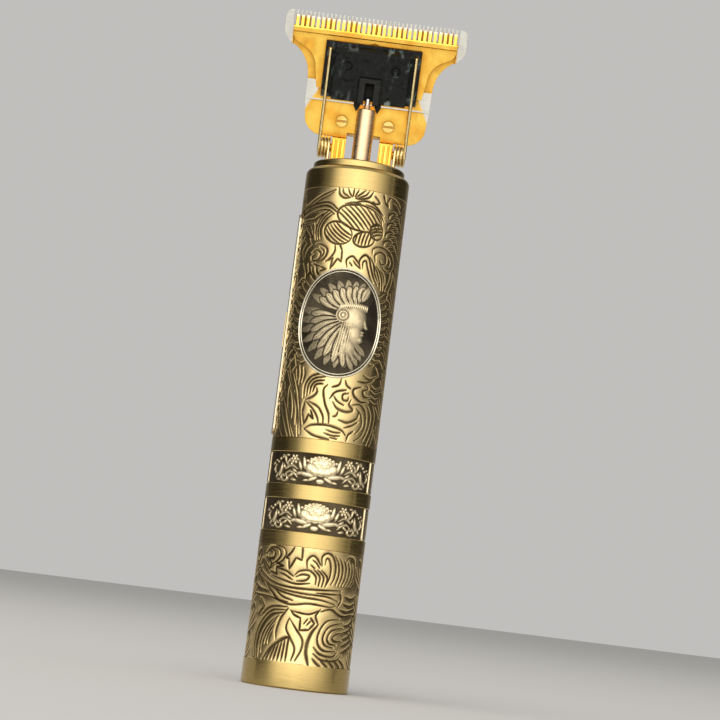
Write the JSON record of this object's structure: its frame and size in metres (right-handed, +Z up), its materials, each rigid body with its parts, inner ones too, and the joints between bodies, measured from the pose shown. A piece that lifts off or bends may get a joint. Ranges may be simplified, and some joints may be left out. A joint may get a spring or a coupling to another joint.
{
  "type": "hair clipper",
  "caption": "Cordless barber trimmer with a round engraved brass handle and a leaning T-shaped blade driven by an eccentric pin.",
  "frame": {"origin": "centre of the flat bottom face, which the trimmer stands on", "axes": "+Z up along the handle towards the blade, -Y is the badge side that the head leans towards, +X to the right seen from the badge side"},
  "size_m": [0.0426, 0.0246, 0.1546],
  "materials": {
    "antique_brass": "antiqued brass, engraved, raised faces polished, recesses dark",
    "satin_brass": "brushed satin brass",
    "badge_rim": "polished pale brass",
    "badge_field": "dark antique pewter and brass",
    "gold_plate": "bright gold plating over steel",
    "blade_steel": "ground steel at tips and rails, gold plated elsewhere",
    "rose_brass": "plain turned copper-brass",
    "steel": "plain steel",
    "spring_steel": "bright drawn wire with a gold tint",
    "black_gloss": "glossy black moulding",
    "black_plastic": "fine textured black moulding",
    "white_plastic": "plain moulding",
    "clear_plastic": "clear light pipe",
    "rubber": "soft black rubber",
    "foam": "closed cell foam",
    "cell_wrap": "shrink wrapped cell",
    "board_green": "solder resist",
    "chip_black": "moulded chip packages",
    "led": "lamp package",
    "magnet": "ferrite",
    "core_steel": "stacked laminations",
    "copper": "enamelled copper",
    "red_wire": "wire insulation",
    "black_wire": "wire insulation"
  },
  "bodies": {
    "handle": {"body_tube": "antique_brass", "badge_rim": "badge_rim", "badge_field": "badge_field", "switch_plate": "satin_brass", "end_ring": "satin_brass", "end_insert": "black_plastic", "end_screws": "steel", "end_gasket": "rubber", "charge_socket": "steel", "charge_tongue": "black_plastic", "charge_board": "board_green", "status_led": "led", "light_guide": "clear_plastic", "chassis_front": "black_plastic", "chassis_rear": "black_plastic", "chassis_screws": "steel", "battery_cell": "cell_wrap", "battery_tabs": "steel", "battery_pad": "foam", "circuit_board": "board_green", "board_components": "chip_black", "switch_housing": "steel", "battery_lead_red": "red_wire", "battery_lead_black": "black_wire", "motor_lead_red": "red_wire", "motor_lead_black": "black_wire", "motor_can": "steel", "motor_magnets": "magnet", "motor_end_cap": "white_plastic", "motor_front_bush": "copper", "motor_rear_bush": "copper", "motor_brushes": "copper", "motor_terminals": "copper", "motor_mount": "steel", "motor_screws": "steel", "neck_collar": "satin_brass", "shaft_seal": "rubber", "neck_bracket": "gold_plate", "bracket_screws": "steel", "spring_pins": "gold_plate", "fixed_blade": "blade_steel", "blade_screws": "gold_plate"},
    "crank": {"motor_shaft": "steel", "rotor_core": "core_steel", "rotor_windings": "copper", "commutator": "copper", "eccentric_sleeve": "rose_brass", "eccentric_pin": "steel"},
    "cutter": {"moving_blade": "gold_plate", "blade_driver": "black_gloss"},
    "left_spring_arm": {"left_spring": "spring_steel"},
    "right_spring_arm": {"right_spring": "spring_steel"},
    "power_switch": {"switch_slider": "satin_brass", "switch_actuator": "black_plastic"}
  },
  "joints": [
    {"name": "crank_spin", "type": "hinge", "parent": "handle", "child": "crank", "pos_m": [0, 0, 0.118], "axis": [0, 0, 1], "range_deg": [-91.8, 91.8]},
    {"name": "blade_slide", "type": "slide", "parent": "handle", "child": "cutter", "axis": [1, 0, 0], "range_m": [-0.001, 0.001]},
    {"name": "left_spring_sway", "type": "hinge", "parent": "handle", "child": "left_spring_arm", "pos_m": [-0.0092, 0.0045, 0.12495], "axis": [0, 0.9419, 0.3358], "range_deg": [-2.57, 2.57]},
    {"name": "right_spring_sway", "type": "hinge", "parent": "handle", "child": "right_spring_arm", "pos_m": [0.0092, 0.0045, 0.12495], "axis": [0, 0.9419, 0.3358], "range_deg": [-2.57, 2.57]},
    {"name": "switch_slide", "type": "slide", "parent": "handle", "child": "power_switch", "axis": [0, 0, 1], "range_m": [0, 0.004]}
  ],
  "couplings": [
    {"joint": "crank_spin", "follows": "blade_slide", "rad_per_m": 1570.8},
    {"joint": "left_spring_sway", "follows": "blade_slide", "rad_per_m": 43.921},
    {"joint": "right_spring_sway", "follows": "blade_slide", "rad_per_m": 43.921}
  ]
}
